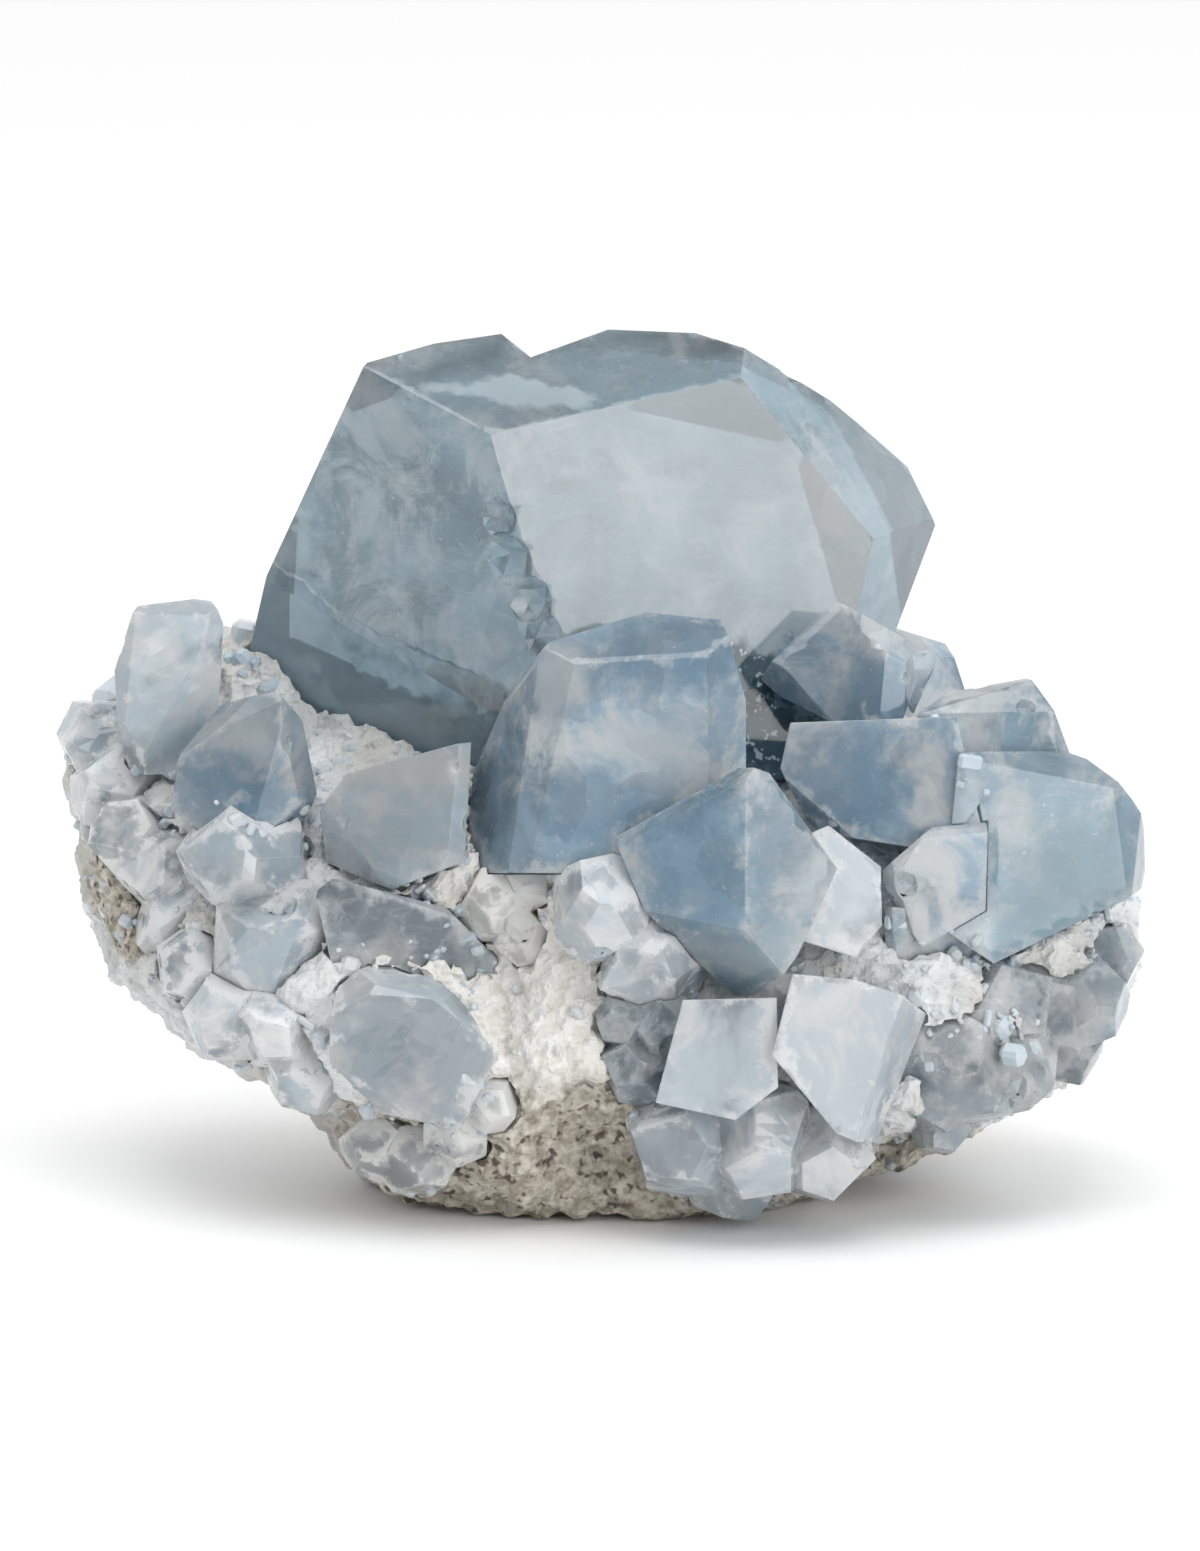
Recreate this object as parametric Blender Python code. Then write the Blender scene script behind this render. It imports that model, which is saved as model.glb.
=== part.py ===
"""Rough celestite: pale blue crystals grown together on a lump of sandy, sugary matrix.

Sizes are millimetres here and metres in Blender. +Z is up, the specimen's front faces -Y, and it rests
on the flat cut under its matrix.
"""

import math
import random

import bmesh
import bpy
from mathutils import Matrix, Vector, noise
from mathutils.bvhtree import BVHTree

MM = 0.001
WIDTH = 90.0
BASE_FRONT = -14.0
LOOK_DOWN = math.radians(12.0)
CLEARANCE = 0.3
SMALL_FACES = 4
ROUGH_BLOCK = 160.0
WELD = 0.0005

CRYSTAL_BLUE = (0.30, 0.40, 0.46, 1.0)
CRYSTAL_PALE = (0.50, 0.58, 0.63, 1.0)
CRYSTAL_GREY = (0.24, 0.29, 0.33, 1.0)
MATRIX_CREAM = (0.56, 0.53, 0.47, 1.0)


def clear_scene():
    for old in list(bpy.data.objects):
        bpy.data.objects.remove(old, do_unlink=True)


def stone_material(name, colour, roughness):
    material = bpy.data.materials.new(name)
    material.use_nodes = True
    shader = material.node_tree.nodes["Principled BSDF"]
    shader.inputs["Base Color"].default_value = colour
    shader.inputs["Roughness"].default_value = roughness
    shader.inputs["Metallic"].default_value = 0.0
    material.diffuse_color = colour
    return material


def at(across, up, back):
    """The point seen across and up from the base's front edge, looking down at LOOK_DOWN, that lies back."""
    height = (up - (back - BASE_FRONT) * math.sin(LOOK_DOWN)) / math.cos(LOOK_DOWN)
    return Vector((across, back, height))


def facing(point, heading, rise):
    """A face through a point. Heading 0 faces the front and 90 the right, and rise tilts it up."""
    heading, rise = math.radians(heading), math.radians(rise)
    flat = math.cos(rise)
    return point, Vector((math.sin(heading) * flat, -math.cos(heading) * flat, math.sin(rise)))


def on(face, across, up):
    """The point of a face that is seen across and up from the front."""
    point, normal = face
    near, far = at(across, up, -100.0), at(across, up, 100.0)
    along = far - near
    return near + along * ((point - near).dot(normal) / along.dot(normal))


def folded(face, start, end, fold, inside):
    """The next face over the edge from start to end, turned back by fold degrees, away from inside."""
    first, last = on(face, *start), on(face, *end)
    edge = (last - first).normalized()
    turned = [Matrix.Rotation(math.radians(side * fold), 3, edge) @ face[1] for side in (1, -1)]
    outward = max(turned, key=lambda normal: (first - inside).dot(normal))
    return first, outward


def through(first, second, third, inside):
    """The face through three points, looking away from inside."""
    normal = (second - first).cross(third - first).normalized()
    return first, normal if (first - inside).dot(normal) > 0 else -normal


def sides(faces, outline, lean, inside):
    """The faces that run back from an outline on the body's front faces, closing in by lean degrees."""
    away = Vector((0.0, math.cos(LOOK_DOWN), -math.sin(LOOK_DOWN)))
    points = [max((on(face, *place) for face in faces), key=lambda point: point.y) for place in outline]
    made = []
    for first, last in zip(points, points[1:]):
        edge = (last - first).normalized()
        normal = edge.cross(away).normalized()
        if (first - inside).dot(normal) < 0:
            normal = -normal
        backward = (away - edge * away.dot(edge)).normalized()
        leaned = normal * math.cos(math.radians(lean)) + backward * math.sin(math.radians(lean))
        made.append((first, leaned))
    return made


def cut_body(faces, grown=0.0):
    """The convex body inside all the faces, each moved out by grown."""
    body = bmesh.new()
    bmesh.ops.create_cube(body, size=ROUGH_BLOCK)
    for point, normal in faces:
        done = bmesh.ops.bisect_plane(
            body,
            geom=body.verts[:] + body.edges[:] + body.faces[:],
            dist=1e-5,
            plane_co=point + normal * grown,
            plane_no=normal,
            clear_outer=True,
        )
        rim = [part for part in done["geom_cut"] if isinstance(part, bmesh.types.BMEdge)]
        if rim:
            bmesh.ops.contextual_create(body, geom=rim)
    bmesh.ops.remove_doubles(body, verts=body.verts[:], dist=0.01)
    bmesh.ops.recalc_face_normals(body, faces=body.faces[:])
    return body


def to_object(name, body, material=None):
    """Turns a bmesh in millimetres into an object in metres."""
    bmesh.ops.scale(body, vec=(MM, MM, MM), verts=body.verts[:])
    mesh = bpy.data.meshes.new(name)
    body.to_mesh(mesh)
    body.free()
    made = bpy.data.objects.new(name, mesh)
    bpy.context.scene.collection.objects.link(made)
    if material:
        mesh.materials.append(material)
    return made


def combine(piece, other, operation):
    """Joins another object to a piece, or cuts it out of the piece, and removes it."""
    step = piece.modifiers.new(operation.title(), "BOOLEAN")
    step.operation = operation
    step.object = other
    graph = bpy.context.evaluated_depsgraph_get()
    result = bpy.data.meshes.new_from_object(piece.evaluated_get(graph))
    old = piece.data
    piece.modifiers.clear()
    piece.data = result
    piece.data.name = piece.name
    bpy.data.meshes.remove(old)
    bpy.data.objects.remove(other, do_unlink=True)


def keep_largest(piece):
    """Drops the loose chips that a cut leaves, and keeps the largest body."""
    body = bmesh.new()
    body.from_mesh(piece.data)
    bmesh.ops.remove_doubles(body, verts=body.verts[:], dist=WELD * MM)
    bmesh.ops.dissolve_degenerate(body, edges=body.edges[:], dist=WELD * MM)
    waiting = set(body.verts)
    bodies = []
    while waiting:
        found = {waiting.pop()}
        edge_of_search = list(found)
        while edge_of_search:
            for edge in edge_of_search.pop().link_edges:
                for vert in edge.verts:
                    if vert in waiting:
                        waiting.discard(vert)
                        found.add(vert)
                        edge_of_search.append(vert)
        bodies.append(found)
    bodies.sort(key=len, reverse=True)
    for loose in bodies[1:]:
        bmesh.ops.delete(body, geom=list(loose), context="VERTS")
    body.to_mesh(piece.data)
    body.free()


def crystal_faces(centre, reach, heading, rise, roll, seed=0):
    """The faces of one celestite crystal: base, domes and prism, at the angles the mineral grows at."""
    chance = random.Random(seed)
    turn = (
        Matrix.Rotation(math.radians(heading), 3, "Z")
        @ Matrix.Rotation(math.radians(-rise), 3, "X")
        @ Matrix.Rotation(math.radians(roll), 3, "Y")
    )
    dome, side_dome, prism = math.radians(39.4), math.radians(52.0), math.radians(38.0)
    forms = []
    for sign in (1, -1):
        forms.append(((0.0, -sign, 0.0), reach[1]))
        for side in (1, -1):
            forms.append(((side * math.sin(dome), -sign * math.cos(dome), 0.0), reach[0]))
            forms.append(((0.0, -sign * math.cos(side_dome), side * math.sin(side_dome)), reach[2]))
            forms.append(((side * math.cos(prism), 0.0, sign * math.sin(prism)), reach[0]))
    faces = []
    for direction, distance in forms:
        normal = (turn @ Vector(direction)).normalized()
        faces.append((centre + normal * distance * chance.uniform(0.9, 1.08), normal))
    return faces


def with_small_faces(faces, count, seed, least=0.4, most=1.3):
    """The faces of a crystal and, on the side seen from the front, small uneven ones that cut off edges."""
    body = cut_body(faces)
    chance = random.Random(seed)
    centre = sum((vert.co for vert in body.verts), Vector()) / len(body.verts)
    edges = []
    for edge in body.edges:
        first, last = edge.verts[0].co, edge.verts[1].co
        if (last - first).length > 3.0 and (first + last).y / 2 < centre.y:
            edges.append(((first + last) / 2, (last - first).normalized(), edge.link_faces[:]))
    small = []
    for middle, along, (one, other) in chance.sample(edges, min(count, len(edges))):
        normal = one.normal * chance.uniform(0.5, 1.5) + other.normal + along * chance.uniform(-0.5, 0.5)
        normal.normalize()
        small.append((middle - normal * chance.uniform(least, most), normal))
    body.free()
    return faces + small


# Small crystals along the edges of the crust, each as seen from the front: across, up and size.
LEFT_CRUST = (
    (-41.6, 39.4, 3.4), (-40.4, 35.6, 3.4), (-39.4, 31.8, 3.2), (-36.8, 28.6, 3.4), (-35.4, 24.6, 3.4),
    (-34.0, 20.4, 3.2), (-31.0, 17.4, 3.4), (-27.4, 15.2, 3.2), (-24.8, 12.0, 3.2),
)
RIGHT_CRUST = (
    (41.6, 20.8, 3.0), (39.6, 17.6, 3.2), (38.0, 13.8, 3.0), (34.4, 12.0, 3.2), (31.0, 9.8, 3.2),
    (27.6, 7.4, 3.0), (24.2, 5.4, 2.8),
)
FOOT_CRUST = ((-15.4, 4.6, 2.8), (-12.4, 6.8, 2.8), (-9.8, 9.2, 2.4), (-19.0, 5.8, 2.8))
CREAM_CRUST = ((-9.0, 25.4, 2.8), (-6.4, 28.0, 2.6), (-3.4, 29.0, 2.8), (-7.0, 23.0, 2.4))


def seated_crystals(tree, places, seed):
    """Crystals at places seen from the front, each sunk into the matrix where it stands."""
    chance = random.Random(seed)
    grown = []
    for across, up, size in places:
        near, far = at(across, up, -60.0), at(across, up, 60.0)
        hit, normal, _, _ = tree.ray_cast(near * MM, (far - near).normalized())
        heading = math.degrees(math.atan2(normal.x, -normal.y)) + chance.uniform(-35.0, 35.0)
        rise, roll = chance.uniform(-25.0, 30.0), chance.uniform(0.0, 180.0)
        reach = (size * chance.uniform(0.8, 1.05), size * 1.25, size * chance.uniform(0.75, 1.0))
        centre = hit / MM - normal * size * 0.35
        grown.append(crystal_faces(centre, reach, heading, rise, roll, len(grown) + seed))
    return grown


def large_crystal():
    """The tall crystal at the back: a clear front face, two narrow upper faces and a broken left side."""
    inside = at(4.0, 54.0, 10.0)
    front = facing(at(-9.4, 64.3, -4.0), 20.0, 15.0)
    top = folded(front, (-9.4, 64.3), (11.1, 69.0), 46.0, inside)
    right = folded(front, (11.1, 69.0), (22.0, 55.8), 42.0, inside)
    end = through(on(front, 22.0, 55.8), on(front, 20.4, 48.4), on(right, 26.7, 57.5), inside)
    left = folded(front, (-9.4, 64.3), (-4.5, 47.2), 52.0, inside)
    left_low = folded(left, (-27.8, 52.5), (-10.7, 42.3), 13.0, inside)
    shown = [front, top, right, end, left, left_low]
    crown = ((-19.5, 70.2), (-14.0, 71.8), (-8.6, 72.6), (0.0, 73.0), (7.4, 72.7), (12.2, 71.0))
    shoulder = ((12.2, 71.4), (16.6, 68.8), (21.0, 65.2), (24.9, 61.8), (27.2, 57.0))
    faces = shown + sides(shown, ((-29.4, 46.0), (-27.8, 52.8), (-19.5, 70.2)), 12.0, inside)
    faces += sides(shown, crown, 14.0, inside) + sides(shown, shoulder, 3.0, inside)
    faces += sides(shown, ((27.2, 57.0), (24.3, 49.3), (20.0, 38.0)), 12.0, inside)
    faces += [
        facing(at(6.0, 60.0, 22.0), 192.0, 3.0),
        facing(at(4.0, 66.0, 20.0), 178.0, 44.0),
        facing(at(-18.0, 54.0, 21.5), 226.0, 4.0),
        facing(at(20.0, 54.0, 21.0), 148.0, 12.0),
        facing(at(4.0, 38.0, 6.0), 0.0, -90.0),
    ]
    return faces


def crown_notch():
    """The notch broken into the large crystal's top edge, as the faces of its cutter."""
    inside = at(-6.0, 90.0, 10.0)
    near, far = at(-6.4, 70.8, 0.0), at(-5.2, 70.2, 20.0)
    left, right = at(-8.9, 72.8, 0.0), at(-1.6, 72.7, 0.0)
    return [through(near, left, far, inside), through(near, right, far, inside)]


def front_crystal():
    """The block in the middle, in front of the large crystal, with a dark upper face."""
    inside = at(1.0, 38.0, -8.0)
    front = facing(at(2.0, 42.0, -15.5), -4.0, 8.0)
    top = folded(front, (-2.5, 45.4), (8.2, 46.0), 50.0, inside)
    right = folded(front, (8.2, 46.0), (8.4, 37.4), 44.0, inside)
    left = folded(front, (-2.5, 45.4), (-4.6, 36.0), 30.0, inside)
    left_back = folded(left, (-5.4, 45.4), (-7.2, 33.0), 28.0, inside)
    shown = [front, top, right, left, left_back]
    faces = shown + sides(shown, ((-4.5, 47.2), (3.3, 49.6), (9.4, 49.0)), 12.0, inside)
    faces += sides(shown, ((9.4, 49.0), (11.4, 42.5), (11.4, 35.0)), 6.0, inside)
    faces += sides(shown, ((-4.5, 47.2), (-8.2, 42.3), (-10.7, 36.5), (-11.3, 30.0)), 6.0, inside)
    faces += [facing(at(0.0, 28.5, -10.0), 0.0, -78.0), facing(at(2.0, 40.0, 1.0), 180.0, 0.0)]
    return faces


def low_crystal():
    """The five-sided point low in the middle, with an upright edge towards the viewer."""
    inside = at(10.0, 29.0, -16.0)
    left = facing(at(11.4, 30.0, -25.0), -30.0, 6.0)
    right = folded(left, (11.4, 36.0), (11.4, 24.0), 56.0, inside)
    under = folded(left, (3.3, 25.4), (11.4, 23.8), 40.0, inside)
    bevel = folded(left, (1.6, 30.7), (11.1, 35.8), 44.0, inside)
    shown = [left, right, under, bevel]
    outline = ((3.3, 25.4), (-0.4, 30.0), (0.4, 31.0), (10.9, 36.9), (13.3, 36.5), (19.7, 27.5))
    outline += ((15.6, 21.8), (13.5, 18.5), (7.4, 18.5), (3.3, 25.4))
    return shown + sides(shown, outline, 12.0, inside) + [facing(at(11.0, 28.0, -7.0), 180.0, 0.0)]


def upper_right_crystal():
    """The squarish crystal against the right foot of the large one."""
    inside = at(19.0, 43.0, 1.0)
    front = facing(at(19.0, 45.0, -6.0), 6.0, 10.0)
    bevel = folded(front, (14.8, 45.2), (19.3, 49.9), 42.0, inside)
    broken = folded(front, (23.0, 47.0), (22.4, 40.6), 14.0, inside)
    small = folded(front, (15.6, 44.3), (18.1, 41.6), 22.0, inside)
    shown = [front, bevel, broken, small]
    outline = (
        (16.6, 40.6), (14.2, 42.6), (11.7, 43.6), (18.9, 50.7),
        (25.0, 47.5), (25.6, 43.9), (23.8, 40.0),
    )
    faces = shown + sides(shown, outline, 9.0, inside)
    faces += [facing(at(19.0, 37.6, 0.0), 0.0, -84.0), facing(at(19.0, 44.0, 9.0), 185.0, 5.0)]
    return faces


def wedge_crystal():
    """The small point that looks out beside it."""
    inside = at(25.0, 43.6, 4.0)
    front = facing(at(26.4, 45.6, 1.0), 12.0, 8.0)
    faces = [front] + sides([front], ((23.0, 46.7), (27.5, 46.5), (25.2, 41.4), (22.6, 42.0)), 10.0, inside)
    faces += [facing(at(23.0, 44.0, 4.0), -90.0, 0.0), facing(at(25.0, 44.0, 8.0), 180.0, 0.0)]
    return faces


def right_crystals():
    """The two crystals at the right end, grown into each other, with a rounded, chipped outer side."""
    inside = at(32.0, 36.0, 0.0)
    front = facing(at(31.0, 38.0, -9.0), 6.0, 12.0)
    top = folded(front, (26.5, 41.4), (35.9, 41.6), 34.0, inside)
    shown = [front, top]
    peak = shown + sides(shown, ((25.6, 41.0), (27.5, 43.9), (34.6, 44.5), (38.6, 37.6)), 18.0, inside)
    peak += sides(shown, ((38.6, 37.6), (37.0, 27.0), (27.0, 27.0), (25.6, 41.0)), 8.0, inside)
    peak += [facing(at(32.0, 40.0, 12.0), 176.0, 14.0)]
    inside = at(36.0, 30.0, 0.0)
    front = facing(at(36.0, 31.0, -11.5), 12.0, 8.0)
    right = folded(front, (41.4, 36.4), (42.6, 27.0), 40.0, inside)
    shown = [front, right]
    crown = ((29.0, 38.4), (37.6, 39.0), (40.6, 37.8), (43.1, 34.3), (44.3, 32.8))
    broad = shown + sides(shown, crown, 20.0, inside)
    broad += sides(shown, ((44.3, 32.8), (45.0, 28.6), (43.8, 25.0), (41.9, 23.2)), 14.0, inside)
    broad += sides(shown, ((41.9, 23.2), (32.5, 20.6), (27.5, 24.0), (29.0, 38.4)), 12.0, inside)
    broad += [facing(at(36.0, 32.0, 11.0), 170.0, 8.0), facing(at(40.0, 32.0, 6.0), 128.0, 6.0)]
    return [peak, broad]


def middle_right_crystals():
    """Crystals grown through each other between the middle and the right end."""
    inside = at(22.0, 34.0, -4.0)
    front = facing(at(22.0, 36.0, -12.0), 4.0, 14.0)
    outline = (
        (15.2, 40.6), (28.7, 41.1), (30.8, 31.6), (21.3, 29.4),
        (16.4, 32.4), (14.4, 37.0), (15.2, 40.6),
    )
    upper = [front] + sides([front], outline, 10.0, inside) + [facing(at(22.0, 36.0, 4.0), 180.0, 0.0)]
    inside = at(27.0, 27.0, -7.0)
    front = facing(at(28.0, 29.0, -14.0), 14.0, 4.0)
    outline = ((22.8, 31.8), (31.2, 32.6), (31.0, 25.4), (25.9, 22.4), (22.6, 27.5), (22.8, 31.8))
    lower = [front] + sides([front], outline, 10.0, inside) + [facing(at(27.0, 28.0, 1.0), 180.0, 0.0)]
    inside = at(27.0, 21.0, -8.0)
    front = facing(at(28.0, 21.0, -13.0), 20.0, -8.0)
    outline = (
        (22.8, 25.6), (30.6, 25.0), (33.4, 17.6), (30.2, 13.4),
        (25.8, 13.8), (23.0, 19.2), (22.8, 25.6),
    )
    foot = [front] + sides([front], outline, 8.0, inside) + [facing(at(28.0, 22.0, -2.0), 180.0, 0.0)]
    return [upper, lower, foot]


def slim_crystal():
    """The narrow bright face that stands out behind the low crystal."""
    inside = at(19.5, 26.0, -13.0)
    front = facing(at(20.8, 28.0, -18.0), 22.0, 15.0)
    outline = (
        (18.2, 32.2), (22.4, 28.9), (22.5, 24.2), (20.4, 21.6),
        (16.0, 23.0), (16.4, 31.4), (18.2, 32.2),
    )
    return [front] + sides([front], outline, 8.0, inside) + [facing(at(19.0, 28.0, -7.5), 190.0, 0.0)]


def plate_crystal():
    """The low crystal whose bright flat face leans out at the front."""
    inside = at(18.0, 14.0, -17.0)
    front = facing(at(18.5, 14.0, -24.5), 20.0, 15.0)
    edge = folded(front, (24.4, 19.2), (20.5, 6.9), 48.0, inside)
    shown = [front, edge]
    outline = ((13.7, 13.6), (15.6, 21.2), (20.5, 19.6), (24.4, 19.2), (26.4, 17.6), (22.0, 6.4))
    outline += ((20.5, 6.6), (18.9, 7.3), (13.7, 13.6))
    return shown + sides(shown, outline, 12.0, inside) + [facing(at(19.0, 14.0, -12.0), 190.0, -10.0)]


def lower_cluster():
    """The knot of short crystals at the front foot, grown into each other."""
    inside = at(9.6, 13.0, -18.0)
    front = facing(at(9.5, 13.0, -25.0), 2.0, 12.0)
    outline = ((6.4, 18.0), (13.9, 18.2), (14.0, 11.0), (10.6, 8.4), (4.2, 9.8), (6.4, 18.0))
    upper = [front] + sides([front], outline, 12.0, inside) + [facing(at(9.5, 12.0, -12.0), 180.0, 0.0)]
    short = [
        crystal_faces(at(7.0, 6.8, -19.5), (4.4, 5.2, 4.2), 14.0, -14.0, 20.0, 11),
        crystal_faces(at(12.2, 6.8, -21.0), (4.2, 5.0, 4.4), -16.0, -6.0, 48.0, 12),
        crystal_faces(at(17.2, 5.6, -18.5), (3.8, 4.4, 3.6), -30.0, -16.0, 8.0, 13),
        crystal_faces(at(10.0, 4.2, -15.4), (3.6, 4.6, 3.2), 6.0, 0.0, 66.0, 14),
    ]
    foot = facing(Vector((0.0, 0.0, 0.4)), 0.0, -90.0)
    return [upper] + [faces + [foot] for faces in short]


def lower_right_crystals(tree):
    """Short crystals between the bright plate and the right end, and the smaller ones round them."""
    return seated_crystals(tree, RIGHT_CRUST, 80) + [
        crystal_faces(at(27.6, 12.4, -14.0), (4.8, 4.6, 4.4), -24.0, -8.0, 24.0, 21),
        crystal_faces(at(31.6, 16.6, -10.6), (4.4, 4.6, 4.4), -8.0, 4.0, -34.0, 22),
        crystal_faces(at(35.2, 17.2, -7.6), (4.6, 3.6, 4.2), 10.0, 6.0, 12.0, 23),
    ]


def upper_left_crystal():
    """The pale block that stands at the top of the left side."""
    inside = at(-36.0, 42.0, 4.0)
    front = facing(at(-36.0, 45.0, -2.0), -4.0, 8.0)
    right = folded(front, (-33.0, 50.4), (-32.6, 41.0), 50.0, inside)
    shown = [front, right]
    outline = (
        (-39.8, 38.0), (-40.4, 45.0), (-38.4, 50.4), (-33.8, 51.2),
        (-32.2, 50.8), (-31.4, 48.8), (-31.8, 38.0),
    )
    faces = shown + sides(shown, outline, 10.0, inside)
    faces += [facing(at(-36.0, 37.0, 2.0), 0.0, -84.0), facing(at(-36.0, 46.0, 9.5), 182.0, 10.0)]
    return faces


def left_crystal():
    """The blue and grey crystal in the middle of the left side."""
    inside = at(-29.0, 35.0, -3.0)
    blue = facing(at(-32.4, 35.5, -10.5), -24.0, 2.0)
    grey = folded(blue, (-29.6, 39.0), (-29.2, 32.0), 44.0, inside)
    top = folded(blue, (-34.8, 38.2), (-29.6, 39.0), 46.0, inside)
    shown = [blue, grey, top]
    outline = ((-31.8, 31.0), (-35.4, 33.6), (-34.8, 38.2), (-31.6, 42.3), (-27.1, 43.1), (-24.6, 41.1))
    outline += ((-23.4, 34.9), (-25.0, 31.4), (-31.8, 31.0))
    return shown + sides(shown, outline, 10.0, inside) + [facing(at(-29.0, 38.0, 5.0), 176.0, 6.0)]


def pale_left_crystals():
    """Milky intergrown crystals below it."""
    return [
        crystal_faces(at(-29.2, 29.6, -10.0), (4.8, 4.8, 4.2), 18.0, 6.0, 10.0, 31),
        crystal_faces(at(-27.4, 23.0, -12.0), (4.6, 5.0, 4.8), -12.0, 2.0, 40.0, 32),
    ]


def grey_crystal():
    """The clear grey block left of the middle, under the large crystal's broken side."""
    inside = at(-17.0, 32.0, -6.0)
    front = facing(at(-17.0, 33.0, -13.0), -8.0, 10.0)
    outline = ((-23.4, 33.4), (-20.9, 36.6), (-13.1, 38.6), (-10.9, 39.2), (-11.3, 30.0), (-13.3, 25.6))
    outline += ((-16.4, 26.7), (-23.0, 28.4), (-23.4, 33.4))
    return [front] + sides([front], outline, 8.0, inside) + [facing(at(-17.0, 32.0, 1.0), 180.0, 0.0)]


def shaded_crystal():
    """The dark crystal set back in the hollow below the grey block."""
    inside = at(-15.0, 22.5, -8.0)
    front = facing(at(-14.0, 22.0, -15.0), 4.0, -6.0)
    right = folded(front, (-13.8, 26.0), (-11.6, 18.6), 24.0, inside)
    shown = [front, right]
    outline = ((-22.0, 19.8), (-23.6, 26.8), (-22.2, 27.9), (-13.1, 25.8), (-8.9, 21.4), (-9.2, 17.4))
    outline += ((-11.0, 17.0), (-22.0, 19.8))
    return shown + sides(shown, outline, 8.0, inside) + [facing(at(-15.0, 22.0, -3.0), 180.0, 0.0)]


def lower_left_crystal():
    """The pale broken crystal low on the left."""
    inside = at(-17.0, 13.0, -13.0)
    front = facing(at(-16.6, 14.0, -21.0), -6.0, 4.0)
    top = folded(front, (-20.6, 18.6), (-12.4, 18.0), 44.0, inside)
    right = folded(front, (-12.6, 14.0), (-14.8, 8.0), 16.0, inside)
    shown = [front, top, right]
    outline = ((-22.2, 19.2), (-19.0, 21.7), (-14.0, 20.4), (-10.9, 17.4), (-9.0, 13.4), (-11.6, 8.0))
    outline += ((-18.4, 8.6), (-22.4, 13.0), (-22.2, 19.2))
    return shown + sides(shown, outline, 12.0, inside) + [facing(at(-17.0, 14.0, -8.0), 180.0, 0.0)]


def centre_crystals():
    """Milky crystals under the low one, at the edge of the cream matrix."""
    return [
        crystal_faces(at(0.2, 25.6, -17.5), (4.0, 5.0, 3.8), -24.0, 12.0, 30.0, 43),
        crystal_faces(at(4.0, 21.0, -18.0), (4.0, 4.8, 4.0), 8.0, 4.0, -20.0, 44),
    ]


def corner_crystals():
    """Small dark crystals at the edge of the sandy patch."""
    return [
        crystal_faces(at(2.8, 12.6, -19.6), (2.6, 2.8, 2.4), 12.0, 2.0, 18.0, 41),
        crystal_faces(at(5.0, 15.8, -19.6), (2.4, 2.8, 2.4), -20.0, 4.0, 50.0, 42),
        crystal_faces(at(1.6, 16.2, -19.0), (2.0, 2.6, 2.0), 30.0, 12.0, 74.0, 45),
    ]


def back_crystals():
    """Crystals on the back of the crust, out of the photograph's sight: two groups."""
    left = [
        crystal_faces(at(-22.5, 43.0, 19.0), (7.2, 6.8, 6.2), 160.0, 24.0, 20.0, 51),
        crystal_faces(at(-29.5, 37.5, 16.5), (5.8, 5.8, 5.2), 132.0, 16.0, 60.0, 52),
    ]
    right = [
        crystal_faces(at(22.0, 42.0, 18.5), (7.0, 6.8, 6.4), 206.0, 22.0, -26.0, 53),
        crystal_faces(at(15.0, 37.0, 23.0), (5.6, 5.6, 5.2), 190.0, 14.0, 34.0, 54),
    ]
    return left, right


# Each row of the matrix: its height, and how far it reaches left, right, to the front and to the back.
MATRIX_ROWS = (
    (0.0, -17.5, 16.5, -14.0, 12.0),
    (2.0, -20.5, 25.0, -15.5, 15.0),
    (5.0, -22.5, 30.5, -17.5, 18.5),
    (9.0, -28.0, 37.5, -19.5, 22.0),
    (14.0, -38.0, 42.0, -20.5, 24.5),
    (20.0, -42.5, 43.4, -18.5, 26.0),
    (27.0, -43.4, 42.0, -14.0, 26.5),
    (32.0, -43.6, 37.0, -8.0, 26.0),
    (36.0, -41.6, 28.0, -1.0, 24.0),
    (40.0, -37.2, 4.0, 4.0, 21.0),
    (43.0, -34.0, -14.0, 7.0, 18.0),
)
ROUND_COUNT = 56
LEVELS_A_ROW = 2
SQUARENESS = 0.86
CRUST_COUNT = 36
# Hollows in the matrix: the middle as seen from the front, the radius, and how deep it is pushed in.
HOLLOWS = (
    ((-11.5, 21.5, -19.0), 8.0, 5.5),
    ((-37.5, 25.5, -8.0), 3.6, 2.2),
    ((36.5, 17.0, -11.0), 4.0, 2.4),
    ((21.0, 3.0, -14.0), 4.4, 2.6),
    ((4.0, 17.0, -20.0), 5.0, 2.0),
)


def row_between(rows, share):
    """The matrix's height and reaches at a share of the way through the rows, on a smooth curve."""
    place = share * (len(rows) - 1)
    index = min(int(place), len(rows) - 2)
    part = place - index
    before, start = rows[max(index - 1, 0)], rows[index]
    end, after = rows[index + 1], rows[min(index + 2, len(rows) - 1)]
    values = []
    for p0, p1, p2, p3 in zip(before, start, end, after):
        bend = 2 * p0 - 5 * p1 + 4 * p2 - p3
        swing = 3 * p1 - p0 - 3 * p2 + p3
        values.append(p1 + 0.5 * part * (p2 - p0 + part * (bend + part * swing)))
    return values


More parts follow.
